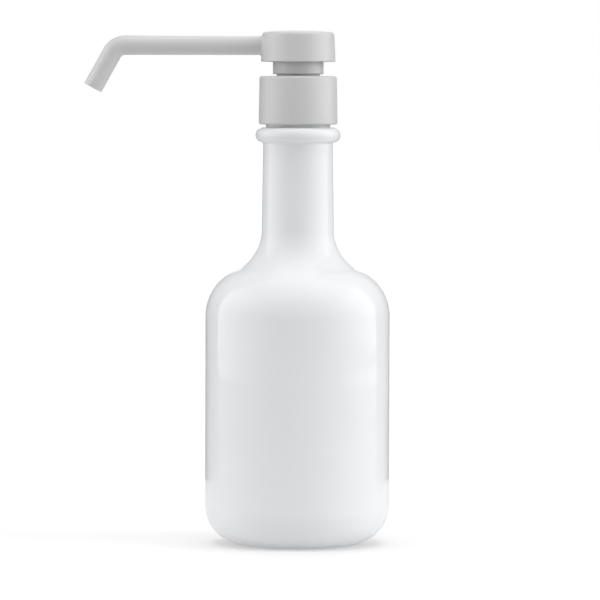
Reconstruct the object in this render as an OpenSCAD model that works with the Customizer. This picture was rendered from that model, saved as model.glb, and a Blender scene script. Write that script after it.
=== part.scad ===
// Round bottle with a long neck, a screw closure and a lock-down lotion pump, shown locked down.
// Millimetres. +Z is up, the origin is the centre of the base, and the spout points to -X.

/* [Bottle] */
// Diameter of the body
body_d = 77.2; // [74:0.2:82]
// Height at which the straight side ends and the shoulder begins
side_h = 95.2; // [84:0.2:110]
// Radius of the rounded edge round the base
base_edge_r = 15.8; // [8:0.2:18]
// Radius of the convex shoulder
shoulder_r = 21.4; // [17:0.2:24]
// Radius of the concave sweep from the shoulder into the neck
sweep_r = 18.4; // [14:0.2:22]
// Diameter of the neck at its foot
neck_d = 30.2; // [28.6:0.1:33]
// Diameter of the neck under the bead
neck_top_d = 29.2; // [28.4:0.1:31]
// Length of the neck, from the sweep to the middle of the bead
neck_l = 39.6; // [34:0.2:50]
// Radius of the half-round bead
bead_r = 3.2; // [2.4:0.1:4]
// Radius of the fillet under the bead
bead_fillet = 0.8; // [0.3:0.1:1.5]
// Thickness of the blown wall
bottle_wall = 1.5; // [1:0.1:2]
// Rise of the hollow under the base
push_up = 2.5; // [1.5:0.1:4]
// Width of the flat ring that the bottle stands on
stand_w = 2; // [1:0.2:4]

/* [Neck finish] */
// Height of the finish, from the top of the bead to the mouth
finish_h = 17.4; // [17:0.1:20]
// Diameter of the plain wall that carries the thread
finish_d = 25.1; // [24.6:0.1:25.6]
// Diameter over the thread
thread_d = 27.4; // [27:0.1:27.8]
// Diameter of the mouth
mouth_d = 21; // [19:0.2:22]
// Diameter of the plain band above the bead
band_d = 27.1; // [26.2:0.1:27.4]
// Diameter of that band where it meets the bead
band_foot_d = 26.8; // [25.6:0.1:27]
// Height of the plain band
band_h = 2.4; // [1.8:0.1:3]
// Height that the thread climbs in one turn
thread_pitch = 4.23; // [4:0.01:4.5]
// Turns of thread
thread_turns = 1.5; // [1:0.25:1.75]
// Axial width of a thread at its root
thread_root_w = 2.4; // [2:0.1:2.6]
// Axial width of a thread at its crest
thread_crest_w = 1.3; // [0.8:0.1:1.5]

/* [Closure] */
// Diameter at the foot of the closure
closure_d = 33; // [31:0.1:36]
// Diameter at the top of the closure
closure_top_d = 32.4; // [31:0.1:36]
// Height of the closure
closure_h = 20.2; // [18:0.1:21]
// Thickness of the closure's plate
plate_t = 1.5; // [1:0.1:2.2]
// Radius of the closure's top edge
closure_edge_r = 1.1; // [0.3:0.1:1.4]
// Radius of the closure's lower edge
closure_foot_r = 0.9; // [0.2:0.1:1]
// Radial room between the two threads
thread_room = 0.35; // [0.2:0.05:0.5]

/* [Gasket] */
// Thickness of the gasket
gasket_t = 1; // [0.6:0.1:1.6]
// Outer diameter of the gasket
gasket_d = 26.4; // [25:0.1:27]

/* [Housing] */
// Outer diameter of the pump housing
housing_d = 14.8; // [14.4:0.1:16]
// Diameter of the bore in which the seal slides
cylinder_d = 12.6; // [12.2:0.1:12.8]
// Outer diameter of the housing's flange
flange_d = 27; // [25:0.1:27.4]
// Thickness of the flange
flange_t = 1.5; // [1:0.1:2.4]
// Outer diameter of the inlet under the cylinder
inlet_d = 9.2; // [8.6:0.1:10.4]
// Diameter of the ball's chamber
chamber_d = 6.6; // [6.2:0.1:7]
// Diameter of the inlet port under the ball
port_d = 3.2; // [2.6:0.1:3.4]
// Depth of the socket for the dip tube
socket_depth = 9; // [6:0.5:14]
// Diameter of the air vent in the housing's side
vent_d = 1; // [0.6:0.1:1.4]

/* [Chaplet] */
// Diameter of the lock ring
chaplet_d = 21.2; // [19.6:0.1:24]
// Height of the lock ring
chaplet_h = 6.7; // [6:0.1:9]
// Gap between the closure and the lock ring
chaplet_gap = 0.8; // [0.3:0.1:2]
// Diameter of the chaplet's neck, in the closure's hole
chaplet_neck_d = 18.1; // [17:0.1:18.8]
// Diameter of the bore that takes the head's lock plug
lock_bore_d = 14.4; // [14.2:0.1:15.2]
// Length of the sleeve that reaches into the housing
sleeve_l = 3.1; // [2:0.1:5]
// Thickness of the web that guides the stem
web_t = 1.5; // [1:0.1:2.5]

/* [Head] */
// Diameter at the foot of the head
head_d = 31.2; // [30:0.1:36]
// Diameter of the head under its top edge
head_top_d = 30.2; // [30:0.1:36]
// Height of the head
head_h = 13.1; // [12.4:0.1:16]
// Thickness of the head's wall
head_wall = 1.6; // [1.2:0.1:2]
// Radius of the head's top edge
head_edge_r = 1.6; // [0.5:0.1:2]
// Rise of the crowned top
head_dome = 0.6; // [0.2:0.05:1]
// How far the locked head hangs below the top of the lock ring
head_overlap = 1.5; // [0.8:0.1:1.6]
// Diameter of the lock plug without its thread
plug_d = 13; // [12.4:0.1:13.2]
// Height of the lock thread on the plug
lock_thread_h = 0.55; // [0.3:0.05:0.55]
// Height that the lock thread climbs in one turn
lock_pitch = 3; // [2.4:0.1:3.4]
// Thickness of the ribs inside the head
rib_t = 1.2; // [0.8:0.1:1.6]
// Ribs inside the head
rib_count = 6; // [4:2:8]

/* [Spout] */
// Outer diameter of the spout at the head
spout_d = 7.9; // [7.4:0.1:8.2]
// Outer diameter of the spout at its bend and tip
spout_tip_d = 8.1; // [7.4:0.1:8.8]
// Diameter of the spout's bore
spout_bore_d = 4.6; // [3.6:0.1:5.2]
// Height of the spout's axis above the foot of the head
spout_rise = 6.7; // [6.5:0.1:7.2]
// Distance from the pump's axis to the corner of the spout's axis
spout_reach = 76; // [50:0.5:100]
// Angle through which the spout bends down
spout_angle = 61; // [30:1:90]
// Radius of the bend, at the middle of the tube
bend_r = 6.3; // [5.6:0.1:10]
// Length from that corner to the tip
spout_drop = 20.3; // [16:0.1:26]
// Distance from the pump's axis to the end of the spout's socket
socket_x = 8; // [7:0.1:10]
// Thickness of the socket's wall
socket_wall = 1; // [0.7:0.1:1.2]
// Height of the flare where the head meets the spout
flare_h = 0.65; // [0.3:0.05:0.9]
// Length of that flare along the spout
flare_l = 0.9; // [0.4:0.1:1.6]

/* [Plunger] */
// Outer diameter of the stem
stem_d = 8.4; // [7.8:0.1:9]
// Diameter of the stem's bore
stem_bore_d = 4.6; // [3.8:0.1:5]
// Height of the stem's end above the foot of the head
stem_rise = 2.5; // [2:0.1:3.5]
// Travel of the head from locked to fully raised
stroke = 12; // [9:0.5:13]
// Travel of the seal on the piston seat
seal_slip = 1; // [0.6:0.1:1.4]
// Height of the piston seal
seal_h = 4.9; // [4:0.1:6]
// Diameter of the piston seat's neck, on which the seal slides
seat_neck_d = 6.4; // [6:0.1:7]
// Diameter of the bore through the piston seat
seat_bore_d = 2.8; // [2:0.1:3.2]
// Diameter of the two cross ports
seat_port_d = 1.6; // [1:0.1:2]
// Diameter of the piston seat's flange
seat_flange_d = 11.2; // [10.9:0.1:11.8]
// Thickness of that flange
seat_flange_t = 1.5; // [1:0.1:2.5]

/* [Spring] */
// Diameter of the spring's wire
wire_d = 0.9; // [0.6:0.05:1]
// Mean diameter of the spring
spring_d = 9.8; // [9.4:0.1:10]
// Length of the spring with the pump locked down
spring_l = 18.5; // [15:0.5:24]
// Turns of the spring, with its closed ends
spring_turns = 7; // [6:1:9]

/* [Ball and dip tube] */
// Diameter of the inlet ball
ball_d = 5; // [4.8:0.1:5.4]
// Lift of the inlet ball
ball_lift = 1.5; // [1:0.1:2]
// Outer diameter of the dip tube
tube_d = 6; // [5.4:0.1:6.4]
// Diameter of the dip tube's bore
tube_bore_d = 4.4; // [3.6:0.1:4.8]
// Gap between the dip tube and the bottle's floor
tube_gap = 4; // [2:0.5:10]
// Slope of the dip tube's cut end
tube_cut = 25; // [0:1:40]

/* [Hidden] */
$fn = 96;

// Radial room of a press fit, of a running fit, and of the seal's lips
press_room = 0.03;
run_room = 0.1;
lip_room = 0.08;
// Room between flat faces that come together at the end of a travel
stop_room = 0.05;
// How far a thread or rib is sunk into the wall that carries it
sink = 0.3;
// Degrees between the points of an arc
arc_step = 4;
// How far a cut runs past the faces that it opens
over = 1;
// Sides of a small hole
hole_fn = 24;

// Bottle
body_r = body_d / 2;
shoulder_c = [body_r - shoulder_r, side_h];
arcs_r = shoulder_r + sweep_r;
sweep_x = neck_d / 2 + sweep_r;
sweep_c = [sweep_x, side_h + sqrt(arcs_r ^ 2 - (sweep_x - shoulder_c.x) ^ 2)];
meet_a = atan2(sweep_c.y - shoulder_c.y, sweep_c.x - shoulder_c.x);
base_edge_c = [body_r - base_edge_r, base_edge_r];
stand_in_r = base_edge_c.x - stand_w;
dome_r = (stand_in_r ^ 2 + push_up ^ 2) / (2 * push_up);
dome_c = [0, push_up - dome_r];
floor_edge_r = sqrt((dome_r + bottle_wall) ^ 2 - (bottle_wall - dome_c.y) ^ 2);
bead_c = [neck_top_d / 2, sweep_c.y + neck_l];
fillet_drop = sqrt((bead_r + bead_fillet) ^ 2 - bead_fillet ^ 2);
fillet_a = atan2(fillet_drop, bead_fillet);
band_z = bead_c.y + bead_r;
band_foot_h = 1;
mouth_z = band_z + finish_h;
mouth_edge_r = 0.5;
mouth_end_drop = 1;
mouth_end_z = band_z - mouth_end_drop;

// Threads of the neck and the closure
thread_steps = 30;
thread_drop = 1.5;
thread_start_z = mouth_z - thread_drop - thread_root_w / 2 - thread_pitch * thread_turns;
skirt_r = thread_d / 2 + thread_room;
closure_thread_z = thread_start_z - (thread_root_w + thread_crest_w) / 2;

// Closure, gasket and housing's flange
flange_z = mouth_z + gasket_t;
plate_z = flange_z + flange_t;
closure_top_z = plate_z + plate_t;
closure_z = closure_top_z - closure_h;
closure_hole_r = chaplet_neck_d / 2 + run_room;
skirt_lead = 0.6;

// Chaplet
chaplet_z = closure_top_z + chaplet_gap;
chaplet_top_z = chaplet_z + chaplet_h;
chaplet_edge_r = 0.4;
web_rise = 0.7;
web_top_z = plate_z + web_rise;
sleeve_z = plate_z - sleeve_l;
sleeve_wall = 1.2;

// Head
head_z = chaplet_top_z - head_overlap;
head_top_z = head_z + head_h;
ceiling_z = head_top_z - head_dome - head_wall;
foot_chamfer = 0.25;
stop_z = chaplet_top_z + stop_room;
stop_r = (lock_bore_d + chaplet_d) / 4;
stop_t = 1.2;
plug_room = 0.6;
plug_z = web_top_z + plug_room;
plug_l = stop_z - plug_z;
lock_root_w = 1.4;
lock_crest_w = 0.6;
rib_end_r = (head_d + head_top_d) / 4 - head_wall + sink;

// Spout
spout_z = head_z + spout_rise;
spout_wall_x = (head_d + head_top_d) / 4;
flare_end_x = spout_wall_x + flare_l;
flare_lip = 0.1;
spout_end_x = spout_reach - bend_r * tan(spout_angle / 2);
leg_l = spout_drop - bend_r * tan(spout_angle / 2);
run_step = 0.02;
run_lap = 0.1;

// Plunger, from the top of the seal down
stem_top_z = head_z + stem_rise;
seal_top_z = sleeve_z - stop_room - seal_slip - stroke;
seal_z = seal_top_z - seal_h;
stem_z = seal_top_z + seal_slip + stop_room;
seat_top_z = seal_z - stop_room;
seat_z = seat_top_z - seat_flange_t;
seat_spigot_l = 5;
seat_boss_l = 2;
seat_boss_room = 0.5;
seat_bore_drop = 0.3;
seat_port_gap = 0.1;
seal_tube_t = 1;
seal_bore_r = seat_neck_d / 2 + run_room;
lip_r = cylinder_d / 2 - lip_room;

// Spring and the housing below it
cylinder_floor_z = seat_z - spring_l;
spring_end_r = spring_d / 2 - wire_d / 2;
coil_room = 0.07;
lug_h = 1;
lug_w = 1;
lug_count = 3;
lug_overlap = 0.6;
lug_r = ball_d / 2 - lug_overlap;
lug_z = cylinder_floor_z - lug_h;
ball_z = lug_z - ball_lift - sqrt((ball_d / 2 + stop_room) ^ 2 - lug_r ^ 2);
// The ball touches a cone of 45 degrees, so its centre lies this far above the foot of the cone
port_z = ball_z - (ball_d / 2 + stop_room) * sqrt(2) + port_d / 2;
port_l = 1.5;
tube_top_z = port_z - port_l;
inlet_z = tube_top_z - socket_depth;
cone_drop = 0.5;
cone_top_z = cylinder_floor_z - cone_drop;
vent_drop = 1.5;
tube_z = push_up + bottle_wall + tube_gap;

// Colours
white_gloss = [0.94, 0.95, 0.97];
light_grey = [0.80, 0.80, 0.79];
natural = [0.88, 0.89, 0.87];
steel = [0.62, 0.63, 0.65];

// Points of an arc about c, from angle a0 to a1
function arc(c, r, a0, a1) =
    let (n = max(2, ceil(abs(a1 - a0) / arc_step)))
    [for (i = [0:n]) let (a = a0 + (a1 - a0) * i / n) c + r * [cos(a), sin(a)]];

// Rings of points along a helix: each section lies in radius and height, counter-clockwise
function ring_points(section, angle, z) =
    [for (p = section) [p.x * cos(angle), p.x * sin(angle), z + p.y]];

// Triangles of a closed sweep over n rings of k points
function sweep_faces(n, k) = concat(
    [[for (j = [k - 1:-1:0]) j]],
    [for (i = [0:n - 2], j = [0:k - 1])
        [i * k + j, i * k + (j + 1) % k, (i + 1) * k + (j + 1) % k]],
    [for (i = [0:n - 2], j = [0:k - 1])
        [i * k + j, (i + 1) * k + (j + 1) % k, (i + 1) * k + j]],
    [[for (j = [0:k - 1]) (n - 1) * k + j]]
);

// Section of a thread from its sunk root to a share of its full height
function thread_section(root_r, crest_r, root_w, crest_w, share) =
    let (side = sign(crest_r - root_r))
    let (sunk_r = root_r - side * sink, top_r = root_r + (crest_r - root_r) * share)
    let (low = [[sunk_r, -root_w / 2], [top_r, -crest_w / 2]])
    let (high = [[top_r, crest_w / 2], [sunk_r, root_w / 2]])
    side > 0 ? concat(low, high) : [low[1], low[0], high[1], high[0]];

// Right-hand thread whose middle starts at height z, fading into its wall at both ends
module thread(root_r, crest_r, root_w, crest_w, pitch, turns, z) {
    steps = ceil(turns * thread_steps);
    fade = 0.12;
    buried = -0.5 * sink / abs(crest_r - root_r);
    rings = [for (i = [0:steps])
        let (t = i / steps * turns)
        let (share = min(1, buried + (1 - buried) * min(t, turns - t) / fade))
        ring_points(thread_section(root_r, crest_r, root_w, crest_w, share), 360 * t, z + pitch * t)];
    polyhedron([for (ring = rings) each ring], sweep_faces(len(rings), 4));
}

// The bottle's outside, from the middle of the base to the mouth
outside = concat(
    arc(dome_c, dome_r, 90, 90 - asin(stand_in_r / dome_r)),
    arc(base_edge_c, base_edge_r, -90, 0),
    arc(shoulder_c, shoulder_r, 0, meet_a),
    arc(sweep_c, sweep_r, 180 + meet_a, 180),
    arc(bead_c + [bead_fillet, -fillet_drop], bead_fillet, 180, 180 - fillet_a),
    arc(bead_c, bead_r, -fillet_a, 90),
    [
        [band_foot_d / 2, band_z],
        [band_d / 2, band_z + band_foot_h],
        [band_d / 2, band_z + band_h - (band_d - finish_d) / 2],
        [finish_d / 2, band_z + band_h]
    ],
    arc([finish_d / 2 - mouth_edge_r, mouth_z - mouth_edge_r], mouth_edge_r, 0, 90)
);

// The bottle's inside, from the mouth to the middle of the floor
inside = concat(
    arc([mouth_d / 2 + mouth_edge_r, mouth_z - mouth_edge_r], mouth_edge_r, 90, 180),
    [
        [mouth_d / 2, mouth_end_z],
        [neck_top_d / 2 - bottle_wall, mouth_end_z - (neck_top_d - mouth_d) / 2]
    ],
    arc(sweep_c, sweep_r + bottle_wall, 180, 180 + meet_a),
    arc(shoulder_c, shoulder_r - bottle_wall, meet_a, 0),
    arc(base_edge_c, base_edge_r - bottle_wall, 0, -90),
    arc(dome_c, dome_r + bottle_wall, 90 - asin(floor_edge_r / (dome_r + bottle_wall)), 90)
);

module bottle() {
    color(white_gloss) {
        rotate_extrude() polygon(concat(outside, inside));
        thread(finish_d / 2, thread_d / 2, thread_root_w, thread_crest_w,
            thread_pitch, thread_turns, thread_start_z);
    }
}

module closure() {
    foot_c = [closure_d / 2 - closure_foot_r, closure_z + closure_foot_r];
    edge_c = [closure_top_d / 2 - closure_edge_r, closure_top_z - closure_edge_r];
    color(light_grey) {
        rotate_extrude() polygon(concat(
            [[skirt_r, closure_z + skirt_lead], [skirt_r + skirt_lead, closure_z]],
            arc(foot_c, closure_foot_r, -90, 0),
            arc(edge_c, closure_edge_r, 0, 90),
            [[closure_hole_r, closure_top_z], [closure_hole_r, plate_z], [skirt_r, plate_z]]
        ));
        thread(skirt_r, finish_d / 2 + thread_room, thread_root_w, thread_crest_w,
            thread_pitch, thread_turns, closure_thread_z);
    }
}

module gasket() {
    color(white_gloss) translate([0, 0, mouth_z]) difference() {
        cylinder(d = gasket_d, h = gasket_t);
        translate([0, 0, -over]) cylinder(r = housing_d / 2 + press_room, h = gasket_t + 2 * over);
    }
}

// Lugs over the inlet ball, which stop it at the top of its lift
module ball_lugs() {
    for (i = [0:lug_count - 1]) {
        rotate([0, 0, 360 * i / lug_count]) translate([lug_r, -lug_w / 2, lug_z]) {
            cube([chamber_d / 2 - lug_r + sink, lug_w, lug_h]);
        }
    }
}

module housing() {
    socket_r = tube_d / 2 + press_room;
    seat_cone_h = (chamber_d - port_d) / 2;
    color(natural) {
        difference() {
            rotate_extrude() polygon([
                [socket_r, inlet_z],
                [inlet_d / 2, inlet_z],
                [inlet_d / 2, cone_top_z - (housing_d - inlet_d) / 2],
                [housing_d / 2, cone_top_z],
                [housing_d / 2, flange_z],
                [flange_d / 2, flange_z],
                [flange_d / 2, plate_z],
                [cylinder_d / 2, plate_z],
                [cylinder_d / 2, cylinder_floor_z],
                [chamber_d / 2, cylinder_floor_z],
                [chamber_d / 2, port_z + seat_cone_h],
                [port_d / 2, port_z],
                [port_d / 2, tube_top_z],
                [socket_r, tube_top_z]
            ]);
            translate([0, 0, sleeve_z - vent_drop]) rotate([0, 90, 0]) {
                cylinder(d = vent_d, h = housing_d, $fn = hole_fn);
            }
        }
        ball_lugs();
    }
}

module chaplet() {
    low_c = [chaplet_d / 2 - chaplet_edge_r, chaplet_z + chaplet_edge_r];
    high_c = [chaplet_d / 2 - chaplet_edge_r, chaplet_top_z - chaplet_edge_r];
    guide_r = stem_d / 2 + run_room;
    sleeve_r = cylinder_d / 2 - press_room;
    color(light_grey) rotate_extrude() polygon(concat(
        [
            [guide_r, web_top_z - web_t],
            [sleeve_r - sleeve_wall, web_top_z - web_t],
            [sleeve_r - sleeve_wall, sleeve_z],
            [sleeve_r, sleeve_z],
            [sleeve_r, plate_z],
            [chaplet_neck_d / 2, plate_z],
            [chaplet_neck_d / 2, chaplet_z]
        ],
        arc(low_c, chaplet_edge_r, -90, 0),
        arc(high_c, chaplet_edge_r, 0, 90),
        [
            [lock_bore_d / 2 + chaplet_edge_r, chaplet_top_z],
            [lock_bore_d / 2, chaplet_top_z - chaplet_edge_r],
            [lock_bore_d / 2, web_top_z],
            [guide_r, web_top_z]
        ]
    ));
}

module head_shell() {
    edge_c = [head_top_d / 2 - head_edge_r, head_top_z - head_dome - head_edge_r];
    crown_r = (edge_c.x ^ 2 + head_dome ^ 2) / (2 * head_dome);
    crown_c = [0, head_top_z - crown_r];
    rotate_extrude() polygon(concat(
        [
            [head_d / 2 - head_wall, head_z],
            [head_d / 2 - foot_chamfer, head_z],
            [head_d / 2, head_z + foot_chamfer]
        ],
        arc(edge_c, head_edge_r, 0, 90),
        arc(crown_c, crown_r, 90 - asin(edge_c.x / crown_r), 90),
        [[0, ceiling_z], [head_top_d / 2 - head_wall, ceiling_z]]
    ));
}

module head_ribs() {
    rib_z = stop_z + stop_t;
    for (i = [0:rib_count - 1]) {
        rotate([0, 0, 180 + 360 * i / rib_count]) translate([0, -rib_t / 2, rib_z]) {
            cube([rib_end_r, rib_t, ceiling_z - rib_z + sink]);
        }
    }
}

// Flare round the mouth of the spout's socket, hollow towards the spout like a fillet
module spout_flare() {
    root_r = spout_d / 2 + flare_h;
    low_r = spout_d / 2 + flare_lip;
    rotate_extrude() polygon([
        [0, socket_x],
        [root_r, socket_x],
        [root_r, spout_wall_x],
        [(root_r + 2 * low_r) / 3, spout_wall_x + flare_l / 3],
        [low_r, flare_end_x],
        [0, flare_end_x]
    ]);
}

module head() {
    color(light_grey) difference() {
        union() {
            head_shell();
            head_ribs();
            translate([0, 0, plug_z]) cylinder(d = plug_d, h = ceiling_z - plug_z + sink);
            translate([0, 0, stop_z]) cylinder(r = stop_r, h = stop_t);
            thread(plug_d / 2, plug_d / 2 + lock_thread_h, lock_root_w, lock_crest_w,
                lock_pitch, (plug_l - 2 * lock_root_w) / lock_pitch, plug_z + lock_root_w);
            translate([0, 0, spout_z]) rotate([0, -90, 0]) {
                cylinder(r = spout_d / 2 + socket_wall, h = rib_end_r);
                spout_flare();
            }
        }
        translate([0, 0, plug_z - over]) {
            cylinder(r = stem_d / 2 + press_room, h = stem_top_z - plug_z + over);
        }
        translate([0, 0, stem_top_z - over]) {
            cylinder(d = stem_bore_d, h = spout_z + spout_bore_d / 2 - stem_top_z + over);
        }
        translate([0, 0, spout_z]) rotate([0, -90, 0]) {
            cylinder(d = spout_bore_d, h = socket_x + over);
            translate([0, 0, socket_x]) cylinder(r = spout_d / 2 + press_room, h = flare_end_x);
        }
    }
}

// Straight run, bend and leg of the spout, at radius head_r near the head and tip_r at the bend. The run
// and the leg are wider than the bend by run_step and reach a little into it, so that they meet at an edge.
module spout_run(head_r, tip_r, extra) {
    straight_r = tip_r + run_step;
    translate([0, 0, spout_z]) rotate([0, -90, 0]) rotate_extrude() polygon([
        [0, socket_x - extra],
        [head_r, socket_x - extra],
        [head_r, flare_end_x],
        [straight_r, spout_end_x - bend_r],
        [straight_r, spout_end_x + run_lap],
        [0, spout_end_x + run_lap]
    ]);
    translate([-spout_end_x, 0, spout_z - bend_r]) rotate([90, 0, 0]) {
        rotate([0, 0, 90]) rotate_extrude(angle = spout_angle) translate([bend_r, 0]) circle(r = tip_r);
        rotate([0, 0, 90 + spout_angle]) translate([bend_r, -run_lap, 0]) rotate([-90, 0, 0]) {
            cylinder(r = straight_r, h = leg_l + extra + run_lap);
        }
    }
}

module spout() {
    color(light_grey) difference() {
        spout_run(spout_d / 2, spout_tip_d / 2, 0);
        spout_run(spout_bore_d / 2, spout_bore_d / 2, over);
    }
}

module stem() {
    color(natural) translate([0, 0, stem_z]) difference() {
        cylinder(d = stem_d, h = stem_top_z - stem_z);
        translate([0, 0, -over]) cylinder(d = stem_bore_d, h = stem_top_z - stem_z + 2 * over);
    }
}

module piston_seat() {
    port_mid_z = seat_top_z + seat_port_d / 2 + seat_port_gap;
    boss_r = spring_end_r - seat_boss_room;
    spigot_r = stem_bore_d / 2 - press_room;
    spigot_top_z = stem_z + seat_spigot_l;
    bore_z = seat_top_z - seat_bore_drop;
    color(natural) difference() {
        rotate_extrude() polygon([
            [0, seat_z - seat_boss_l],
            [boss_r, seat_z - seat_boss_l],
            [boss_r, seat_z],
            [seat_flange_d / 2, seat_z],
            [seat_flange_d / 2, seat_top_z],
            [seat_neck_d / 2, seat_top_z],
            [seat_neck_d / 2, stem_z],
            [spigot_r, stem_z],
            [spigot_r, spigot_top_z],
            [seat_bore_d / 2, spigot_top_z],
            [seat_bore_d / 2, bore_z],
            [0, bore_z]
        ]);
        for (a = [0, 90]) {
            rotate([0, 0, a]) translate([0, 0, port_mid_z]) rotate([0, 90, 0]) {
                cylinder(d = seat_port_d, h = seat_neck_d + 2 * over, center = true, $fn = hole_fn);
            }
        }
    }
}

module piston_seal() {
    mid_z = (seal_z + seal_top_z) / 2;
    tube_r = seal_bore_r + seal_tube_t;
    web_h = 0.6;
    lip_t = 0.5;
    lip_flare = 0.4;
    waist_r = lip_r - lip_flare;
    lip_inset = 0.2;
    // The upper half of the section, from the bore out to the lip and back; k mirrors it for the lower half
    function half(k) = [
        [seal_bore_r, mid_z + k * seal_h / 2],
        [tube_r, mid_z + k * seal_h / 2],
        [tube_r, mid_z + k * web_h],
        [waist_r - lip_t, mid_z + k * web_h],
        [lip_r - lip_t, mid_z + k * (seal_h / 2 - lip_inset)],
        [lip_r, mid_z + k * (seal_h / 2 - lip_inset)],
        [waist_r, mid_z + k * web_h]
    ];
    upper = half(1);
    color(white_gloss) rotate_extrude() {
        polygon(concat(half(-1), [for (i = [len(upper) - 1:-1:0]) upper[i]]));
    }
}

// Height of the wire's middle after t turns, with one closed turn at each end
function spring_height(t) =
    let (closed = wire_d + coil_room)
    let (open = (spring_l - wire_d - 2 * closed) / (spring_turns - 2))
    t < 1 ? closed * t
    : t > spring_turns - 1 ? spring_l - wire_d - closed * (spring_turns - t)
    : closed + open * (t - 1);

module spring() {
    sides = 6;
    steps = 16 * spring_turns;
    section = [for (j = [0:sides - 1])
        [spring_d / 2 + wire_d / 2 * cos(360 * j / sides), wire_d / 2 * sin(360 * j / sides)]];
    rings = [for (i = [0:steps])
        let (t = i / steps * spring_turns)
        ring_points(section, 360 * t, cylinder_floor_z + wire_d / 2 + spring_height(t))];
    color(steel) polyhedron([for (ring = rings) each ring], sweep_faces(len(rings), sides));
}

module inlet_ball() {
    color(steel) translate([0, 0, ball_z]) sphere(d = ball_d);
}

module dip_tube() {
    color(natural) difference() {
        translate([0, 0, tube_z]) cylinder(d = tube_d, h = tube_top_z - tube_z);
        translate([0, 0, tube_z - over]) cylinder(d = tube_bore_d, h = tube_top_z - tube_z + 2 * over);
        translate([-tube_d / 2, 0, tube_z]) rotate([0, -tube_cut, 0]) {
            translate([-tube_d, -tube_d, -2 * tube_d]) cube([4 * tube_d, 2 * tube_d, 2 * tube_d]);
        }
    }
}

bottle();
closure();
gasket();
housing();
chaplet();
head();
spout();
stem();
piston_seat();
piston_seal();
spring();
inlet_ball();
dip_tube();
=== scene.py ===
"""Round pump bottle: smooth surfaces around the fixed frame, with studio floor, lights and camera."""

import math

import bmesh
import bpy
from mathutils import Matrix, Vector


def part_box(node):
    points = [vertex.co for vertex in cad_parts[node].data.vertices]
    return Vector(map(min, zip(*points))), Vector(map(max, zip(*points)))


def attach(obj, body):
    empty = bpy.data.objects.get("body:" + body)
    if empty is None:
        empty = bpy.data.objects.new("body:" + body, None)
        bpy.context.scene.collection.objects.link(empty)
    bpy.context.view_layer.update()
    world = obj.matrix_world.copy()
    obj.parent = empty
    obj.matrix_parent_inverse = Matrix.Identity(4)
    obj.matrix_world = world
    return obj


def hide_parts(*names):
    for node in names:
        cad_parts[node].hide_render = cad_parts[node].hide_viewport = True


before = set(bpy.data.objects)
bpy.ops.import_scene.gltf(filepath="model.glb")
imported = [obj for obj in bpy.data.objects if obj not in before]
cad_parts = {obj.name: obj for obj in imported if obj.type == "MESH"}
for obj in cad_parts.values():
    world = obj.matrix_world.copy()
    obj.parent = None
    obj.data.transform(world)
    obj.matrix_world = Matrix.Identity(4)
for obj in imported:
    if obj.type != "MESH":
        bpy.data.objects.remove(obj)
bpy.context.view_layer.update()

# Sizes of the object are in millimetres and become metres when a mesh is made. The fixed ones are the
# solids' own, in capitals, and the others come from the frame
MM = 0.001
# Radial room of a press fit and of a running fit
PRESS_ROOM = 0.03
RUN_ROOM = 0.1
# How far united solids sink into each other, and how far a cutter reaches past what it cuts
SINK = 0.3
CUT = 1.0


def low(node):
    """Lowest corner of a CAD node, in millimetres."""
    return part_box(node)[0] / MM


def high(node):
    """Highest corner of a CAD node, in millimetres."""
    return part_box(node)[1] / MM


# Outlines


def full_turn(count):
    """That many even angles round a circle, in radians."""
    return [2 * math.pi * i / count for i in range(count)]


def arc(centre, radius, start, end, step=2.0):
    """Points of an arc in the plane of radius and height, angles and step in degrees."""
    count = max(2, math.ceil(abs(end - start) / step))
    angles = [math.radians(start + (end - start) * i / count) for i in range(count + 1)]
    return [(centre[0] + radius * math.cos(a), centre[1] + radius * math.sin(a)) for a in angles]


def tube_outline(bore_r, outer_r, bottom, top, edge_r):
    """Wall of a plain tube, with all its edges rounded."""
    corners = [
        (bore_r + edge_r, bottom + edge_r),
        (outer_r - edge_r, bottom + edge_r),
        (outer_r - edge_r, top - edge_r),
        (bore_r + edge_r, top - edge_r),
    ]
    outline = []
    for i, corner in enumerate(corners):
        start = 180 + 90 * i
        outline += arc(corner, edge_r, start, start + 90, step=13)
    return outline


# Meshes

# Sides of the turned meshes
BOTTLE_SIDES = 256
CAP_SIDES = 192
RING_SIDES = 160
TUBE_SIDES = 128
ROD_SIDES = 96
BALL_SIDES = 64
# Edges with a sharper angle than this stay sharp
SHARP_ANGLE = 35.0
# Points closer than WELD become one, and points nearer to the axis than ON_AXIS lie on it
WELD = 0.00001
ON_AXIS = 0.000001
# Rings of a thread for each turn, and the part of a turn over which it fades into its wall
THREAD_STEPS = 48
THREAD_FADE = 0.12
# Bevel along a thread's crest: how far it drops, and how wide it is
BEVEL_DROP = 0.12
BEVEL_W = 0.1


def smooth(mesh):
    """Smooth shading, apart from the sharp edges."""
    mesh.shade_smooth()
    mesh.set_sharp_from_angle(angle=math.radians(SHARP_ANGLE))


def finish_mesh(name, bm):
    """Smoothly shaded object in metres from a bmesh in millimetres."""
    bmesh.ops.remove_doubles(bm, verts=bm.verts, dist=WELD)
    bmesh.ops.recalc_face_normals(bm, faces=bm.faces)
    bmesh.ops.scale(bm, vec=(MM, MM, MM), verts=bm.verts)
    mesh = bpy.data.meshes.new(name)
    bm.to_mesh(mesh)
    bm.free()
    smooth(mesh)
    piece = bpy.data.objects.new(name, mesh)
    bpy.context.scene.collection.objects.link(piece)
    return piece


def skin(bm, here, there):
    """Faces between two rings of vertices, of which either may be a single pole."""
    if len(here) == 1 and len(there) == 1:
        return
    count = max(len(here), len(there))
    for i in range(count):
        k = (i + 1) % count
        if len(here) == 1:
            bm.faces.new((here[0], there[i], there[k]))
        elif len(there) == 1:
            bm.faces.new((here[i], here[k], there[0]))
        else:
            bm.faces.new((here[i], here[k], there[k], there[i]))


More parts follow.
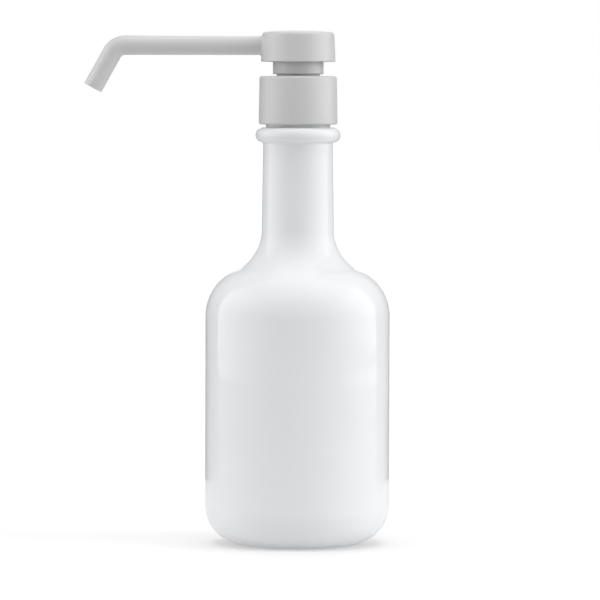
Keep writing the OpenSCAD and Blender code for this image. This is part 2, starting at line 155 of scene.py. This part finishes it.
def lathe(name, outline, sides):
    """Closed outline of (radius, height) points turned about Z. Points on the axis become poles."""
    bm = bmesh.new()
    turns = full_turn(sides)
    rings = []
    for radius, height in outline:
        if radius < ON_AXIS:
            rings.append([bm.verts.new((0, 0, height))])
        else:
            circle = [(radius * math.cos(t), radius * math.sin(t), height) for t in turns]
            rings.append([bm.verts.new(p) for p in circle])
    for here, there in zip(rings, rings[1:] + rings[:1]):
        skin(bm, here, there)
    return finish_mesh(name, bm)


def rod(radius, start, end):
    """Plain rod on the Z axis, from one height to another."""
    return lathe("rod", [(0, start), (radius, start), (radius, end), (0, end)], ROD_SIDES)


def block(size, place, turn):
    """Box of that size whose first face stands at place, turned about Z."""
    bm = bmesh.new()
    bmesh.ops.create_cube(bm, size=1)
    bmesh.ops.scale(bm, vec=size, verts=bm.verts)
    bmesh.ops.translate(bm, vec=Vector(place) + Vector((size[0] / 2, 0, size[2] / 2)), verts=bm.verts)
    bmesh.ops.rotate(bm, cent=(0, 0, 0), matrix=Matrix.Rotation(turn, 3, "Z"), verts=bm.verts)
    return finish_mesh("block", bm)


def sweep_mesh(name, rings, closed=False):
    """Mesh through rings of points. An open one gets a flat cap at each end."""
    bm = bmesh.new()
    made = [[bm.verts.new(p) for p in ring] for ring in rings]
    for here, there in zip(made, made[1:]):
        skin(bm, here, there)
    if closed:
        skin(bm, made[-1], made[0])
    else:
        bm.faces.new(made[0])
        bm.faces.new(made[-1])
    return finish_mesh(name, bm)


def thread(root_r, crest_r, root_w, crest_w, pitch, turns, start_z):
    """Right-hand thread on a wall of radius root_r. Each end fades to half of SINK below the wall."""
    side = math.copysign(1, crest_r - root_r)
    buried = -0.5 * SINK / abs(crest_r - root_r)
    sunk = root_r - side * SINK
    edge = crest_w / 2
    rings = []
    total = math.ceil(turns * THREAD_STEPS)
    for i in range(total + 1):
        t = i / total * turns
        share = min(1, buried + (1 - buried) * min(t, turns - t) / THREAD_FADE)
        top = root_r + (crest_r - root_r) * share
        bevel = top - side * BEVEL_DROP
        section = [
            (sunk, -root_w / 2),
            (bevel, -edge - BEVEL_W),
            (top, -edge),
            (top, edge),
            (bevel, edge + BEVEL_W),
            (sunk, root_w / 2),
        ]
        angle = 2 * math.pi * t
        middle_z = start_z + pitch * t
        rings.append([(r * math.cos(angle), r * math.sin(angle), middle_z + z) for r, z in section])
    return sweep_mesh("thread", rings)


def combine(piece, others, operation):
    """Unites the piece with the others, or cuts them out of it, and removes them."""
    for other in others:
        boolean = piece.modifiers.new("combine", "BOOLEAN")
        boolean.operation = operation
        boolean.solver = "EXACT"
        boolean.object = other
    evaluated = piece.evaluated_get(bpy.context.evaluated_depsgraph_get())
    mesh = bpy.data.meshes.new_from_object(evaluated)
    piece.modifiers.clear()
    piece.data = mesh
    mesh.name = piece.name
    smooth(mesh)
    for other in others:
        bpy.data.objects.remove(other)


# Materials

MOULDED_IOR = 1.5
# Where the values of a noise usually lie
NOISE_SPREAD = (0.3, 0.7)
# Features per metre and detail of the noise in a material's colour and in its roughness
SHADE_NOISE = (35, 3)
ROUGHNESS_NOISE = (160, 4)
BUMP_DETAIL = 2


def map_range(tree, value, before, after):
    """The value moved from one range to another and kept within it."""
    node = tree.nodes.new("ShaderNodeMapRange")
    node.inputs["From Min"].default_value, node.inputs["From Max"].default_value = before
    node.inputs["To Min"].default_value, node.inputs["To Max"].default_value = after
    tree.links.new(value, node.inputs["Value"])
    return node


def noise(tree, coordinates, scale, detail, values):
    """Noise at those coordinates, moved from its usual spread to a range of values."""
    node = tree.nodes.new("ShaderNodeTexNoise")
    node.inputs["Scale"].default_value = scale
    node.inputs["Detail"].default_value = detail
    tree.links.new(coordinates, node.inputs["Vector"])
    return map_range(tree, node.outputs["Fac"], NOISE_SPREAD, values).outputs["Result"]


def moulded(name, colour, tint, roughness, grain, waves, metallic=0.0):
    """Material of a smooth surface. colour and tint are linear RGB, roughness is a range, and grain and
    waves are (features per metre, height in metres) of the fine texture and the slow unevenness."""
    material = bpy.data.materials.new(name)
    material.use_nodes = True
    tree = material.node_tree
    shader = tree.nodes["Principled BSDF"]
    shader.inputs["IOR"].default_value = MOULDED_IOR
    shader.inputs["Metallic"].default_value = metallic
    coordinates = tree.nodes.new("ShaderNodeTexCoord").outputs["Object"]

    shades = tree.nodes.new("ShaderNodeMix")
    shades.data_type = "RGBA"
    shades.inputs["A"].default_value = (*colour, 1)
    shades.inputs["B"].default_value = (*tint, 1)
    tree.links.new(noise(tree, coordinates, *SHADE_NOISE, (0, 1)), shades.inputs["Factor"])
    tree.links.new(shades.outputs["Result"], shader.inputs["Base Color"])
    tree.links.new(noise(tree, coordinates, *ROUGHNESS_NOISE, roughness), shader.inputs["Roughness"])

    normal = None
    for scale, height in (waves, grain):
        bump = tree.nodes.new("ShaderNodeBump")
        bump.inputs["Distance"].default_value = height
        tree.links.new(noise(tree, coordinates, scale, BUMP_DETAIL, (0, 1)), bump.inputs["Height"])
        if normal is not None:
            tree.links.new(normal, bump.inputs["Normal"])
        normal = bump.outputs["Normal"]
    tree.links.new(normal, shader.inputs["Normal"])
    return material


def wear(piece, material):
    """Gives an object its only material."""
    piece.data.materials.clear()
    piece.data.materials.append(material)


def dress(piece, material, body):
    """Gives a piece its material, and lets it ride on a body."""
    wear(piece, material)
    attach(piece, body)


gloss_white = moulded(
    "bottle_plastic",
    colour=(0.862, 0.868, 0.888),
    tint=(0.85, 0.857, 0.878),
    roughness=(0.06, 0.11),
    grain=(900, 0.000001),
    waves=(38, 0.0003),
)
light_grey = moulded(
    "pump_plastic",
    colour=(0.63, 0.63, 0.63),
    tint=(0.617, 0.617, 0.62),
    roughness=(0.28, 0.36),
    grain=(1600, 0.000006),
    waves=(60, 0.00002),
)
natural = moulded(
    "natural_plastic",
    colour=(0.74, 0.75, 0.73),
    tint=(0.72, 0.73, 0.71),
    roughness=(0.3, 0.4),
    grain=(1200, 0.000004),
    waves=(60, 0.00002),
)
seal_white = moulded(
    "seal_plastic",
    colour=(0.86, 0.86, 0.85),
    tint=(0.84, 0.84, 0.83),
    roughness=(0.34, 0.44),
    grain=(1400, 0.000003),
    waves=(90, 0.00001),
)
foam = moulded(
    "gasket_foam",
    colour=(0.88, 0.88, 0.87),
    tint=(0.85, 0.85, 0.84),
    roughness=(0.7, 0.85),
    grain=(2600, 0.00003),
    waves=(400, 0.00002),
)
steel = moulded(
    "stainless",
    colour=(0.62, 0.63, 0.65),
    tint=(0.58, 0.59, 0.61),
    roughness=(0.2, 0.3),
    grain=(3000, 0.000002),
    waves=(200, 0.000004),
    metallic=1.0,
)

# Bottle

SIDE_H = 95.2
BASE_EDGE_R = 15.8
SHOULDER_R = 21.4
SWEEP_R = 18.4
NECK_R = 15.1
NECK_TOP_R = 14.6
NECK_L = 39.6
BEAD_R = 3.2
BEAD_FILLET = 0.8
BOTTLE_WALL = 1.5
PUSH_UP = 2.5
STAND_W = 2.0
FINISH_R = 12.55
MOUTH_R = 10.5
MOUTH_EDGE_R = 0.5
MOUTH_END_DROP = 1.0
BAND_R = 13.55
BAND_FOOT_R = 13.4
BAND_H = 2.4
BAND_FOOT_H = 1.0
THREAD_R = 13.7
THREAD_W = (2.4, 1.3)
THREAD_DROP = 1.5
PITCH = 4.23
TURNS = 1.5

body_r = high("bottle").x
mouth_z = high("bottle").z
shoulder_c = Vector((body_r - SHOULDER_R, SIDE_H))
sweep_x = NECK_R + SWEEP_R
sweep_rise = math.sqrt((SHOULDER_R + SWEEP_R) ** 2 - (sweep_x - shoulder_c.x) ** 2)
sweep_c = Vector((sweep_x, SIDE_H + sweep_rise))
meet = math.degrees(math.atan2(sweep_c.y - shoulder_c.y, sweep_c.x - shoulder_c.x))
base_c = Vector((body_r - BASE_EDGE_R, BASE_EDGE_R))
stand_in_r = base_c.x - STAND_W
dome_r = (stand_in_r ** 2 + PUSH_UP ** 2) / (2 * PUSH_UP)
dome_c = Vector((0, PUSH_UP - dome_r))
bead_c = Vector((NECK_TOP_R, sweep_c.y + NECK_L))
fillet_drop = math.sqrt((BEAD_R + BEAD_FILLET) ** 2 - BEAD_FILLET ** 2)
fillet_turn = math.degrees(math.atan2(fillet_drop, BEAD_FILLET))
band_z = bead_c.y + BEAD_R
mouth_end_z = band_z - MOUTH_END_DROP
thread_start_z = mouth_z - THREAD_DROP - THREAD_W[0] / 2 - PITCH * TURNS


def bottle_outside():
    """Outline from the middle of the base, under the push-up, to the top of the finish."""
    dome_edge = 90 - math.degrees(math.asin(stand_in_r / dome_r))
    fillet_c = bead_c + Vector((BEAD_FILLET, -fillet_drop))
    finish_edge_c = (FINISH_R - MOUTH_EDGE_R, mouth_z - MOUTH_EDGE_R)
    return [
        *arc(dome_c, dome_r, 90, dome_edge, step=1.5),
        *arc(base_c, BASE_EDGE_R, -90, 0),
        *arc(shoulder_c, SHOULDER_R, 0, meet),
        *arc(sweep_c, SWEEP_R, 180 + meet, 180),
        *arc(fillet_c, BEAD_FILLET, 180, 180 - fillet_turn, step=10),
        *arc(bead_c, BEAD_R, -fillet_turn, 90, step=4),
        (BAND_FOOT_R, band_z),
        (BAND_R, band_z + BAND_FOOT_H),
        (BAND_R, band_z + BAND_H - (BAND_R - FINISH_R)),
        (FINISH_R, band_z + BAND_H),
        *arc(finish_edge_c, MOUTH_EDGE_R, 0, 90, step=15),
    ]


def bottle_inside():
    """Outline from the mouth down to the middle of the floor."""
    mouth_edge_c = (MOUTH_R + MOUTH_EDGE_R, mouth_z - MOUTH_EDGE_R)
    floor_dome_r = dome_r + BOTTLE_WALL
    floor_edge_r = math.sqrt(floor_dome_r ** 2 - (BOTTLE_WALL - dome_c.y) ** 2)
    floor_edge = 90 - math.degrees(math.asin(floor_edge_r / floor_dome_r))
    return [
        *arc(mouth_edge_c, MOUTH_EDGE_R, 90, 180, step=15),
        (MOUTH_R, mouth_end_z),
        (NECK_TOP_R - BOTTLE_WALL, mouth_end_z - NECK_TOP_R + MOUTH_R),
        *arc(sweep_c, SWEEP_R + BOTTLE_WALL, 180, 180 + meet, step=5),
        *arc(shoulder_c, SHOULDER_R - BOTTLE_WALL, meet, 0, step=5),
        *arc(base_c, BASE_EDGE_R - BOTTLE_WALL, 0, -90, step=5),
        *arc(dome_c, floor_dome_r, floor_edge, 90, step=3),
    ]


bottle = lathe("bottle_shell", bottle_outside() + bottle_inside(), BOTTLE_SIDES)
neck_thread = thread(FINISH_R, THREAD_R, *THREAD_W, PITCH, TURNS, thread_start_z)
combine(bottle, [neck_thread], "UNION")
dress(bottle, gloss_white, "bottle")
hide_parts("bottle")

# Closure

CLOSURE_FOOT_R = 0.9
CLOSURE_EDGE_R = 1.1
CLOSURE_TOP_TAPER = 0.3
THREAD_ROOM = 0.35
SKIRT_LEAD = 0.6
PLATE_T = 1.5
CHAPLET_NECK_R = 9.05

closure_r = high("closure").x
closure_z = low("closure").z
closure_top_z = high("closure").z
plate_z = closure_top_z - PLATE_T
skirt_r = THREAD_R + THREAD_ROOM
hole_r = CHAPLET_NECK_R + RUN_ROOM
# Flank to flank under the neck's thread
closure_thread_z = thread_start_z - sum(THREAD_W) / 2


def closure_outline():
    """Skirt, from its lead-in round the outside, and plate with its hole."""
    foot_c = (closure_r - CLOSURE_FOOT_R, closure_z + CLOSURE_FOOT_R)
    edge_c = (closure_r - CLOSURE_TOP_TAPER - CLOSURE_EDGE_R, closure_top_z - CLOSURE_EDGE_R)
    return [
        (skirt_r, closure_z + SKIRT_LEAD),
        (skirt_r + SKIRT_LEAD, closure_z),
        *arc(foot_c, CLOSURE_FOOT_R, -90, 0, step=10),
        *arc(edge_c, CLOSURE_EDGE_R, 0, 90, step=8),
        (hole_r, closure_top_z),
        (hole_r, plate_z),
        (skirt_r, plate_z),
    ]


closure = lathe("closure_shell", closure_outline(), CAP_SIDES)
closure_thread = thread(skirt_r, FINISH_R + THREAD_ROOM, *THREAD_W, PITCH, TURNS, closure_thread_z)
combine(closure, [closure_thread], "UNION")
dress(closure, light_grey, "collar")
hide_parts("closure")

# Chaplet, the ring that the head locks into

STEM_R = 4.2
CHAPLET_GAP = 0.8
CHAPLET_EDGE_R = 0.4
LOCK_BORE_R = 7.2
WEB_T = 1.5
WEB_RISE = 0.7
SLEEVE_L = 3.1
SLEEVE_WALL = 1.2
CYLINDER_R = 6.3

chaplet_r = high("chaplet").x
chaplet_z = closure_top_z + CHAPLET_GAP
chaplet_top_z = high("chaplet").z
web_top_z = plate_z + WEB_RISE
guide_r = STEM_R + RUN_ROOM
sleeve_r = CYLINDER_R - PRESS_ROOM


def chaplet_outline():
    """Web that guides the stem, sleeve in the cylinder, neck through the closure, and ring."""
    rim_r = chaplet_r - CHAPLET_EDGE_R
    return [
        (guide_r, web_top_z - WEB_T),
        (sleeve_r - SLEEVE_WALL, web_top_z - WEB_T),
        (sleeve_r - SLEEVE_WALL, plate_z - SLEEVE_L),
        (sleeve_r, plate_z - SLEEVE_L),
        (sleeve_r, plate_z),
        (CHAPLET_NECK_R, plate_z),
        (CHAPLET_NECK_R, chaplet_z),
        *arc((rim_r, chaplet_z + CHAPLET_EDGE_R), CHAPLET_EDGE_R, -90, 0, step=15),
        *arc((rim_r, chaplet_top_z - CHAPLET_EDGE_R), CHAPLET_EDGE_R, 0, 90, step=15),
        (LOCK_BORE_R + CHAPLET_EDGE_R, chaplet_top_z),
        (LOCK_BORE_R, chaplet_top_z - CHAPLET_EDGE_R),
        (LOCK_BORE_R, web_top_z),
        (guide_r, web_top_z),
    ]


chaplet = lathe("chaplet_ring", chaplet_outline(), RING_SIDES)
dress(chaplet, light_grey, "pump_core")
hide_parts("chaplet")

# Head

HEAD_R = 15.6
HEAD_TOP_R = 15.1
HEAD_WALL = 1.6
HEAD_EDGE_R = 1.6
HEAD_DOME = 0.6
HEAD_OVERLAP = 1.5
FOOT_CHAMFER = 0.25
PLUG_R = 6.5
PLUG_ROOM = 0.6
STOP_ROOM = 0.05
STOP_T = 1.2
LOCK_THREAD_H = 0.55
LOCK_THREAD_W = (1.4, 0.6)
LOCK_PITCH = 3.0
RIB_T = 1.2
RIB_COUNT = 6
STEM_RISE = 2.5
STEM_BORE_R = 2.3
SPOUT_RISE = 6.7
SPOUT_R = 3.95
SPOUT_BORE_R = 2.3
SPOUT_SIDES = 96
SOCKET_X = 8.0
SOCKET_WALL = 1.0
FLARE_H = 0.65
FLARE_L = 0.9
FLARE_LIP = 0.02
FLARE_RINGS = 8

head_z = chaplet_top_z - HEAD_OVERLAP
head_top_z = high("head").z
head_edge_z = head_top_z - HEAD_DOME - HEAD_EDGE_R
ceiling_z = head_top_z - HEAD_DOME - HEAD_WALL
stop_z = chaplet_top_z + STOP_ROOM
plug_z = web_top_z + PLUG_ROOM
spout_z = head_z + SPOUT_RISE
stem_top_z = head_z + STEM_RISE
rib_end_r = (HEAD_R + HEAD_TOP_R) / 2 - HEAD_WALL + SINK


def head_wall_r(height):
    """Radius of the head's side at a height, between its foot and its top edge."""
    foot_z = head_z + FOOT_CHAMFER
    return HEAD_R + (HEAD_TOP_R - HEAD_R) * (height - foot_z) / (head_edge_z - foot_z)


def head_shell():
    """Side and slightly domed top, open below."""
    edge_c = (HEAD_TOP_R - HEAD_EDGE_R, head_edge_z)
    crown_r = (edge_c[0] ** 2 + HEAD_DOME ** 2) / (2 * HEAD_DOME)
    crown_edge = 90 - math.degrees(math.asin(edge_c[0] / crown_r))
    outline = [
        (HEAD_R - HEAD_WALL, head_z),
        (HEAD_R - FOOT_CHAMFER, head_z),
        (HEAD_R, head_z + FOOT_CHAMFER),
        *arc(edge_c, HEAD_EDGE_R, 0, 90, step=6),
        *arc((0, head_top_z - crown_r), crown_r, crown_edge, 90, step=0.5),
        (0, ceiling_z),
        (HEAD_TOP_R - HEAD_WALL, ceiling_z),
    ]
    return lathe("head_shell", outline, CAP_SIDES)


def spout_rod(radius, start, end):
    """Rod on the spout's axis, which runs from the head's middle to -X."""
    piece = rod(radius, start, end)
    turn = Matrix.Translation((0, 0, spout_z * MM)) @ Matrix.Rotation(math.radians(-90), 4, "Y")
    piece.data.transform(turn)
    return piece


def spout_flare():
    """Fillet between the head's round side and the spout, hollow to the outside."""
    inner = SPOUT_R + PRESS_ROOM
    outer = SPOUT_R + FLARE_H
    # Each ring's radius and how far it stands off the head's side, or None for one inside the head
    stations = [(outer, None), (outer, -SINK)]
    for k in range(FLARE_RINGS + 1):
        a = math.radians(90 * k / FLARE_RINGS)
        rise = (FLARE_H - PRESS_ROOM - FLARE_LIP) * (1 - math.sin(a))
        stations.append((inner + FLARE_LIP + rise, FLARE_L * (1 - math.cos(a))))
    stations += [(inner, FLARE_L), (inner, None)]
    rings = []
    for radius, offset in stations:
        ring = []
        for turn in full_turn(SPOUT_SIDES):
            y = radius * math.sin(turn)
            z = spout_z + radius * math.cos(turn)
            wall = math.sqrt(head_wall_r(z) ** 2 - y ** 2)
            x = -SOCKET_X - SINK if offset is None else -wall - offset
            ring.append((x, y, z))
        rings.append(ring)
    return sweep_mesh("flare", rings, closed=True)


def push_head():
    """Shell with ribs, lock plug, stop, socket and flare, bored for the stem and the spout."""
    head = head_shell()
    rib_z = stop_z + STOP_T
    rib_size = (rib_end_r, RIB_T, ceiling_z - rib_z + SINK)
    ribs = [block(rib_size, (0, 0, rib_z), math.pi + turn) for turn in full_turn(RIB_COUNT)]
    plug = rod(PLUG_R, plug_z, ceiling_z + SINK)
    stop = rod((LOCK_BORE_R + chaplet_r) / 2, stop_z, stop_z + STOP_T)
    lock_z = plug_z + LOCK_THREAD_W[0]
    lock_turns = (stop_z - plug_z - 2 * LOCK_THREAD_W[0]) / LOCK_PITCH
    lock = thread(PLUG_R, PLUG_R + LOCK_THREAD_H, *LOCK_THREAD_W, LOCK_PITCH, lock_turns, lock_z)
    socket = spout_rod(SPOUT_R + SOCKET_WALL, 0, rib_end_r)
    combine(head, [*ribs, plug, stop, lock, socket, spout_flare()], "UNION")
    stem_bore = rod(STEM_R + PRESS_ROOM, plug_z - CUT, stem_top_z)
    duct = rod(STEM_BORE_R, stem_top_z - CUT, spout_z + SPOUT_BORE_R)
    passage = spout_rod(SPOUT_BORE_R, 0, SOCKET_X + CUT)
    socket_bore = spout_rod(SPOUT_R + PRESS_ROOM, SOCKET_X, SOCKET_X + HEAD_R)
    combine(head, [stem_bore, duct, passage, socket_bore], "DIFFERENCE")
    return head


head = push_head()
dress(head, light_grey, "push_head")
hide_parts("head")

# Spout

SPOUT_TIP_R = 4.05
SPOUT_REACH = 76.0
SPOUT_DROP = 20.3
SPOUT_ANGLE = 61.0
BEND_R = 6.3
TIP_EDGE_R = 0.25
# Rings along the run out of the head, round the bend, down the leg and round the tip's edge
RUN_RINGS = 12
BEND_RINGS = 32
LEG_RINGS = 6
TIP_RINGS = 4

bend_l = BEND_R * math.tan(math.radians(SPOUT_ANGLE / 2))
run_x = HEAD_R + FLARE_L
run_l = SPOUT_REACH - bend_l - run_x
leg_l = SPOUT_DROP - bend_l - TIP_EDGE_R


def spout_stations():
    """Middle, turn in degrees and outer radius of the spout's rings, from the socket to the tip."""
    stations = [((-SOCKET_X, spout_z), 0, SPOUT_R)]
    for k in range(RUN_RINGS + 1):
        share = k / RUN_RINGS
        stations.append(((-run_x - run_l * share, spout_z), 0, SPOUT_R + (SPOUT_TIP_R - SPOUT_R) * share))
    for k in range(1, BEND_RINGS + 1):
        turn = SPOUT_ANGLE * k / BEND_RINGS
        a = math.radians(turn)
        middle = (-run_x - run_l - BEND_R * math.sin(a), spout_z - BEND_R * (1 - math.cos(a)))
        stations.append((middle, turn, SPOUT_TIP_R))
    a = math.radians(SPOUT_ANGLE)
    ahead = Vector((-math.cos(a), -math.sin(a)))
    elbow = Vector(stations[-1][0])
    for k in range(1, LEG_RINGS + 1):
        stations.append((elbow + ahead * leg_l * k / LEG_RINGS, SPOUT_ANGLE, SPOUT_TIP_R))
    for k in range(1, TIP_RINGS + 1):
        a = math.radians(90 * k / TIP_RINGS)
        middle = elbow + ahead * (leg_l + TIP_EDGE_R * math.sin(a))
        stations.append((middle, SPOUT_ANGLE, SPOUT_TIP_R - TIP_EDGE_R * (1 - math.cos(a))))
    return stations


def tube_ring(middle, turn, radius):
    """Ring of points square to the spout's line, which turns down from -X by that many degrees."""
    a = math.radians(turn)
    up = Vector((-math.sin(a), 0, math.cos(a)))
    across = Vector((0, 1, 0))
    centre = Vector((middle[0], 0, middle[1]))
    return [centre + radius * (math.cos(t) * up + math.sin(t) * across) for t in full_turn(SPOUT_SIDES)]


def spout_tube():
    """Tube through the stations, with its bore."""
    stations = spout_stations()
    outer = [tube_ring(middle, turn, radius) for middle, turn, radius in stations]
    inner = [tube_ring(middle, turn, SPOUT_BORE_R) for middle, turn, _ in stations]
    return sweep_mesh("spout_tube", outer + inner[::-1], closed=True)


spout = spout_tube()
dress(spout, light_grey, "push_head")
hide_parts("spout")

# Inner pieces

INNER_EDGE_R = 0.2
GASKET_R = 13.2
GASKET_BORE_R = 7.43


def tube_piece(node, radius, bore_r, material, body):
    """Plain tube with rounded edges in a node's place and at its height."""
    outline = tube_outline(bore_r, radius, low(node).z, high(node).z, INNER_EDGE_R)
    piece = lathe(node + "_tube", outline, TUBE_SIDES)
    dress(piece, material, body)
    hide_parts(node)


tube_piece("stem", STEM_R, STEM_BORE_R, natural, "plunger")
tube_piece("gasket", GASKET_R, GASKET_BORE_R, foam, "pump_core")

ball_z = low("inlet_ball").z
ball_r = (high("inlet_ball").z - ball_z) / 2
ball = lathe("valve_ball", arc((0, ball_z + ball_r), ball_r, -90, 90, step=6), BALL_SIDES)
dress(ball, steel, "valve_ball")
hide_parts("inlet_ball")

# The other solids keep their shape, and get only a material
kept_solids = {
    "housing": natural,
    "piston_seat": natural,
    "dip_tube": natural,
    "piston_seal": seal_white,
    "spring": steel,
}
for node, material in kept_solids.items():
    wear(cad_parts[node], material)

# Camera

# The photograph is that many pixels wide and high, and one pixel is PIXEL metres at the bottle's axis
IMAGE_SIZE = 600
PIXEL = 0.4185 * MM
# The column of the bottle's axis and the row of its base
AXIS_PX = 297.6
BASE_PX = 543.8
# Distance and height in metres, sensor in millimetres and roll in degrees
DISTANCE = 1.75
CAMERA_HEIGHT = 0.187
SENSOR = 36.0
ROLL = 0.16


def make_camera():
    """Camera at the photograph's viewing angle, aimed at the middle of its frame."""
    middle = IMAGE_SIZE / 2
    target = Vector(((middle - AXIS_PX) * PIXEL, 0, (BASE_PX - middle) * PIXEL))
    data = bpy.data.cameras.new("camera")
    data.sensor_width = SENSOR
    data.lens = SENSOR * DISTANCE / (IMAGE_SIZE * PIXEL)
    camera = bpy.data.objects.new("camera", data)
    camera.location = (target.x, -DISTANCE, CAMERA_HEIGHT)
    aim = (target - camera.location).to_track_quat("-Z", "Y").to_matrix()
    camera.rotation_euler = (aim @ Matrix.Rotation(math.radians(ROLL), 3, "Z")).to_euler()
    bpy.context.scene.collection.objects.link(camera)
    bpy.context.scene.camera = camera


make_camera()

# Studio, in metres

WHITE = (1, 1, 1, 1)
# The world's light from the front and from the sides and back, and where it changes along Y
FRONT_LIGHT = 0.17
SIDE_LIGHT = 0.4
FRONT_EDGES = (-1, -0.1)
# The floor's colour and glow as the camera sees them, and its colour for other rays
FLOOR_SIZE = 24
FLOOR_SHOWN = 0.68
FLOOR_GLOW = 0.22
FLOOR_BOUNCE = 0.5
# The glow for other rays: near the object, far from it, and the distances between which it fades
POOL_LIT = 0.3
FLOOR_LIT = 0.08
POOL_EDGES = (0.03, 0.3)
# Steps round a card, and the azimuths between which its middle strength fades into its side strength
CARD_STEPS = 48
MIDDLE_EDGES = (25, 80)


def emission(tree, strength):
    """White emission of that strength."""
    node = tree.nodes.new("ShaderNodeEmission")
    node.inputs["Color"].default_value = WHITE
    node.inputs["Strength"].default_value = strength
    return node


def bare_material(name):
    """Material with an output and no shader yet."""
    material = bpy.data.materials.new(name)
    material.use_nodes = True
    tree = material.node_tree
    tree.nodes.remove(tree.nodes["Principled BSDF"])
    return material


def make_world():
    """White where the camera, a reflection or a refraction sees it, and as light softer from the front."""
    world = bpy.data.worlds.new("studio")
    bpy.context.scene.world = world
    world.use_nodes = True
    tree = world.node_tree
    background = tree.nodes["Background"]
    background.inputs["Color"].default_value = WHITE
    path = tree.nodes.new("ShaderNodeLightPath")
    seen = path.outputs["Is Camera Ray"]
    for other in ("Is Glossy Ray", "Is Transmission Ray"):
        either = tree.nodes.new("ShaderNodeMath")
        either.operation = "MAXIMUM"
        tree.links.new(seen, either.inputs[0])
        tree.links.new(path.outputs[other], either.inputs[1])
        seen = either.outputs[0]
    direction = tree.nodes.new("ShaderNodeSeparateXYZ")
    tree.links.new(tree.nodes.new("ShaderNodeTexCoord").outputs["Generated"], direction.inputs["Vector"])
    light = map_range(tree, direction.outputs["Y"], FRONT_EDGES, (FRONT_LIGHT, SIDE_LIGHT))
    level = map_range(tree, seen, (0, 1), (0, 1))
    tree.links.new(light.outputs["Result"], level.inputs["To Min"])
    tree.links.new(level.outputs["Result"], background.inputs["Strength"])


def make_floor():
    """Pale floor that keeps the shadow and glows softly, as a light table does."""
    bpy.ops.mesh.primitive_plane_add(size=FLOOR_SIZE)
    floor = bpy.context.object
    floor.name = "floor"
    material = bare_material("floor")
    tree = material.node_tree
    seen = tree.nodes.new("ShaderNodeLightPath").outputs["Is Camera Ray"]
    shade = map_range(tree, seen, (0, 1), (FLOOR_BOUNCE, FLOOR_SHOWN))
    distance = tree.nodes.new("ShaderNodeVectorMath")
    distance.operation = "LENGTH"
    tree.links.new(tree.nodes.new("ShaderNodeTexCoord").outputs["Object"], distance.inputs[0])
    pool = map_range(tree, distance.outputs["Value"], POOL_EDGES, (POOL_LIT, FLOOR_LIT))
    glow = map_range(tree, seen, (0, 1), (0, FLOOR_GLOW))
    tree.links.new(pool.outputs["Result"], glow.inputs["To Min"])
    surface = tree.nodes.new("ShaderNodeBsdfDiffuse")
    tree.links.new(shade.outputs["Result"], surface.inputs["Color"])
    light = emission(tree, 1)
    tree.links.new(glow.outputs["Result"], light.inputs["Strength"])
    both = tree.nodes.new("ShaderNodeAddShader")
    tree.links.new(surface.outputs["BSDF"], both.inputs[0])
    tree.links.new(light.outputs["Emission"], both.inputs[1])
    tree.links.new(both.outputs["Shader"], tree.nodes["Material Output"].inputs["Surface"])
    floor.data.materials.append(material)


def sun(name, azimuth, elevation, strength, width):
    """Soft far lamp that no reflection shows, with its angles and width in degrees. Azimuth 0 is the
    camera's side and 90 the right, and strength is the light on a white surface that faces the lamp."""
    data = bpy.data.lights.new(name, "SUN")
    data.energy = strength * math.pi
    data.angle = math.radians(width)
    lamp = bpy.data.objects.new(name, data)
    a = math.radians(azimuth)
    e = math.radians(elevation)
    towards = Vector((math.sin(a) * math.cos(e), -math.cos(a) * math.cos(e), math.sin(e)))
    lamp.rotation_euler = towards.to_track_quat("Z", "Y").to_euler()
    lamp.visible_glossy = False
    bpy.context.scene.collection.objects.link(lamp)


def card_mesh(name, azimuths, heights, distance):
    """Upright wall between two azimuths in degrees and two heights, curved round the Z axis."""
    first, last = azimuths
    turns = [math.radians(first + (last - first) * i / CARD_STEPS) for i in range(CARD_STEPS + 1)]
    spots = [(distance * math.sin(t), -distance * math.cos(t)) for t in turns]
    points = [(x, y, height) for height in heights for x, y in spots]
    count = len(spots)
    faces = [(i, i + 1, count + i + 1, count + i) for i in range(CARD_STEPS)]
    mesh = bpy.data.meshes.new(name)
    mesh.from_pydata(points, [], faces)
    return mesh


def card(name, azimuths, heights, distance, strength, middle=None):
    """Curved panel round the object that only reflections see. Where a middle strength is given, the
    panel has it in front of the bottle, and the other strength at its sides."""
    mesh = card_mesh(name, azimuths, heights, distance)
    panel = bpy.data.objects.new(name, mesh)
    bpy.context.scene.collection.objects.link(panel)
    material = bare_material(name)
    tree = material.node_tree
    light = emission(tree, strength)
    tree.links.new(light.outputs["Emission"], tree.nodes["Material Output"].inputs["Surface"])
    if middle is not None:
        place = tree.nodes.new("ShaderNodeSeparateXYZ")
        tree.links.new(tree.nodes.new("ShaderNodeTexCoord").outputs["Object"], place.inputs["Vector"])
        edges = [-distance * math.cos(math.radians(a)) for a in MIDDLE_EDGES]
        fade = map_range(tree, place.outputs["Y"], edges, (middle, strength))
        tree.links.new(fade.outputs["Result"], light.inputs["Strength"])
    mesh.materials.append(material)
    panel.visible_camera = False
    panel.visible_diffuse = False
    panel.visible_shadow = False


bpy.context.scene.view_settings.view_transform = "Standard"
make_world()
make_floor()
sun("left_lamp", azimuth=-80, elevation=17, strength=0.42, width=56)
sun("right_lamp", azimuth=76, elevation=17, strength=0.6, width=56)
sun("top_lamp", azimuth=0, elevation=80, strength=0.38, width=50)
sun("back_lamp", azimuth=180, elevation=50, strength=0.26, width=60)
card("room_wall", azimuths=(-116, 116), heights=(-0.05, 1.15), distance=1.2, strength=1.7, middle=0.5)
card("left_flag", azimuths=(-165, -111), heights=(-0.05, 0.8), distance=0.3, strength=0.15)
card("right_flag", azimuths=(111, 165), heights=(-0.05, 0.8), distance=0.3, strength=0.15)
